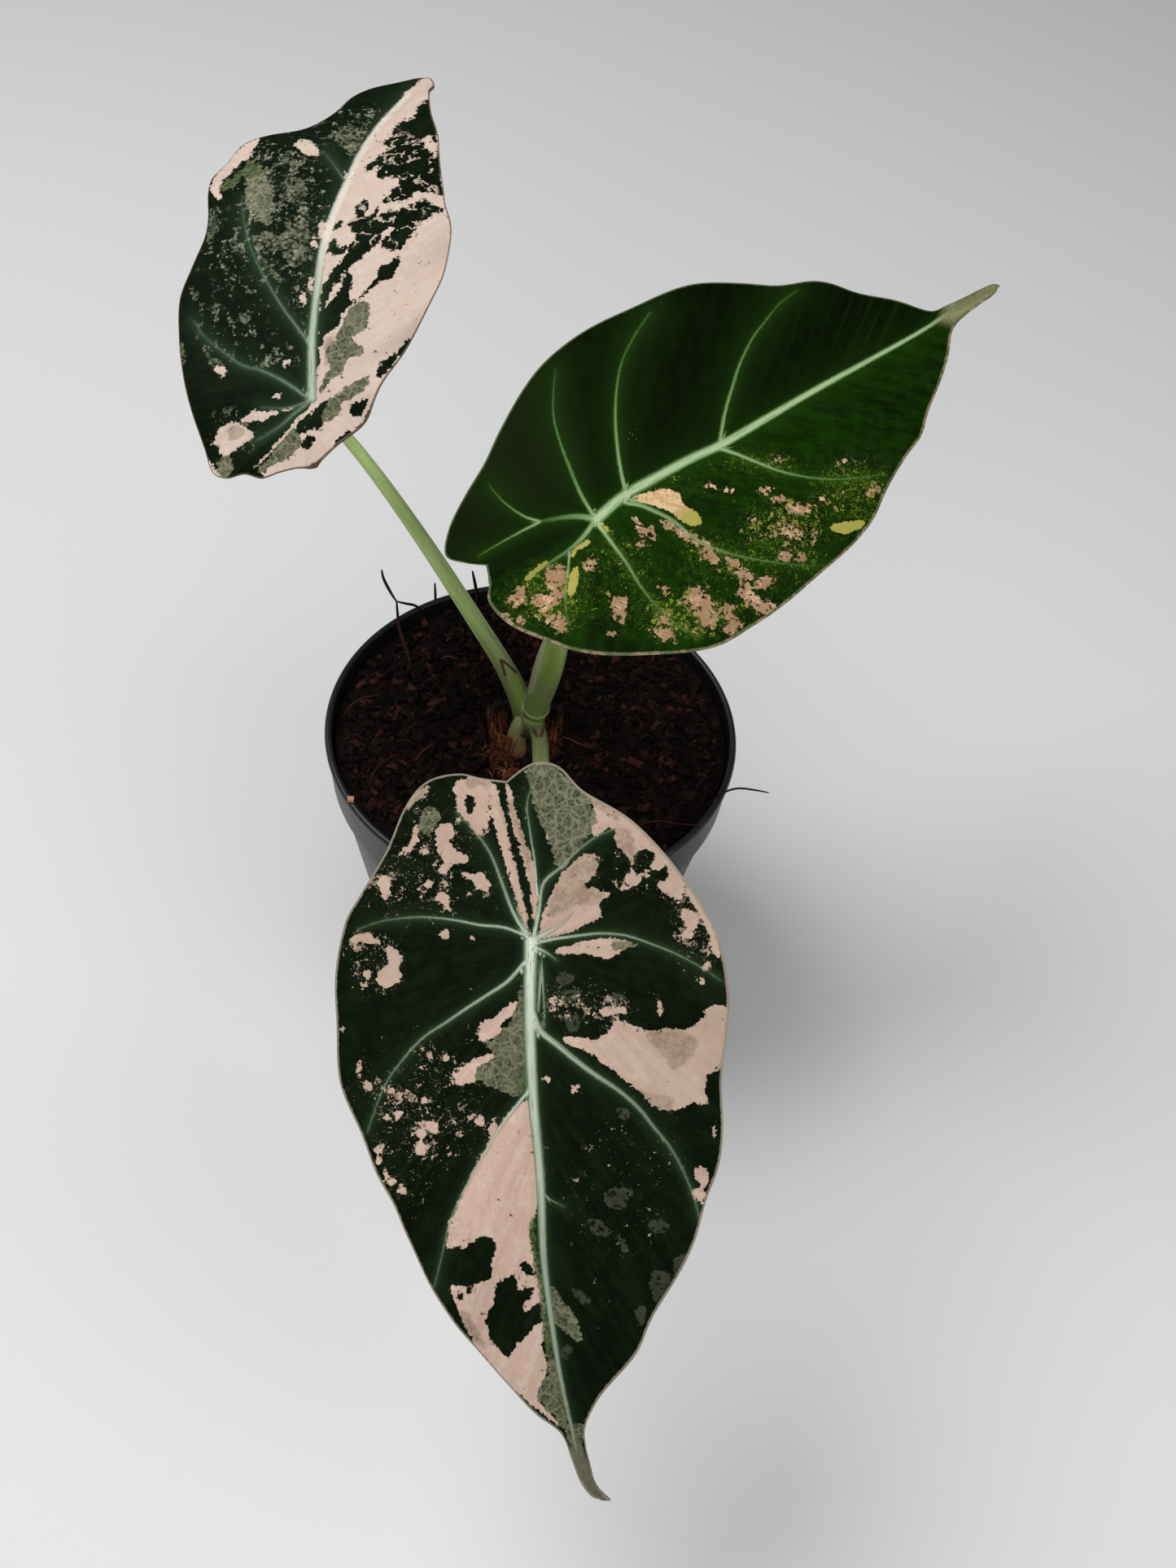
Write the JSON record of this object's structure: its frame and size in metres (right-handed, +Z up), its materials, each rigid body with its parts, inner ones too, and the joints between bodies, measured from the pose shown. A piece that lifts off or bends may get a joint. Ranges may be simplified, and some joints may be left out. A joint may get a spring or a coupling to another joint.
{
  "type": "potted plant",
  "caption": "Potted pink variegated black velvet alocasia: peltate velvety leaves with long drip tips on pale petioles, in a black nursery pot of coco chip mix.",
  "frame": {"origin": "middle of the pot's base, on the surface it stands on", "axes": "+Z up; +X to the side that the widest-spread leaf points to; -Y to the leaf that leans out over the front of the pot"},
  "size_m": [0.2088, 0.3144, 0.2332],
  "materials": {
    "pot_plastic": "satin black polypropylene",
    "coco_mix": "rough dark reddish-brown coco chips and fibre",
    "petiole": "smooth pale green living stem",
    "dry_sheath": "dry brown fibrous sheath",
    "blade": "velvety near-black green leaf with pink and mint variegation"
  },
  "bodies": {
    "root": {"pot": "pot_plastic", "potting_mix": "coco_mix", "crown_and_petioles": "petiole", "sheath_remains": "dry_sheath", "blade_front": "blade", "blade_right": "blade", "blade_left": "blade"}
  },
  "joints": []
}
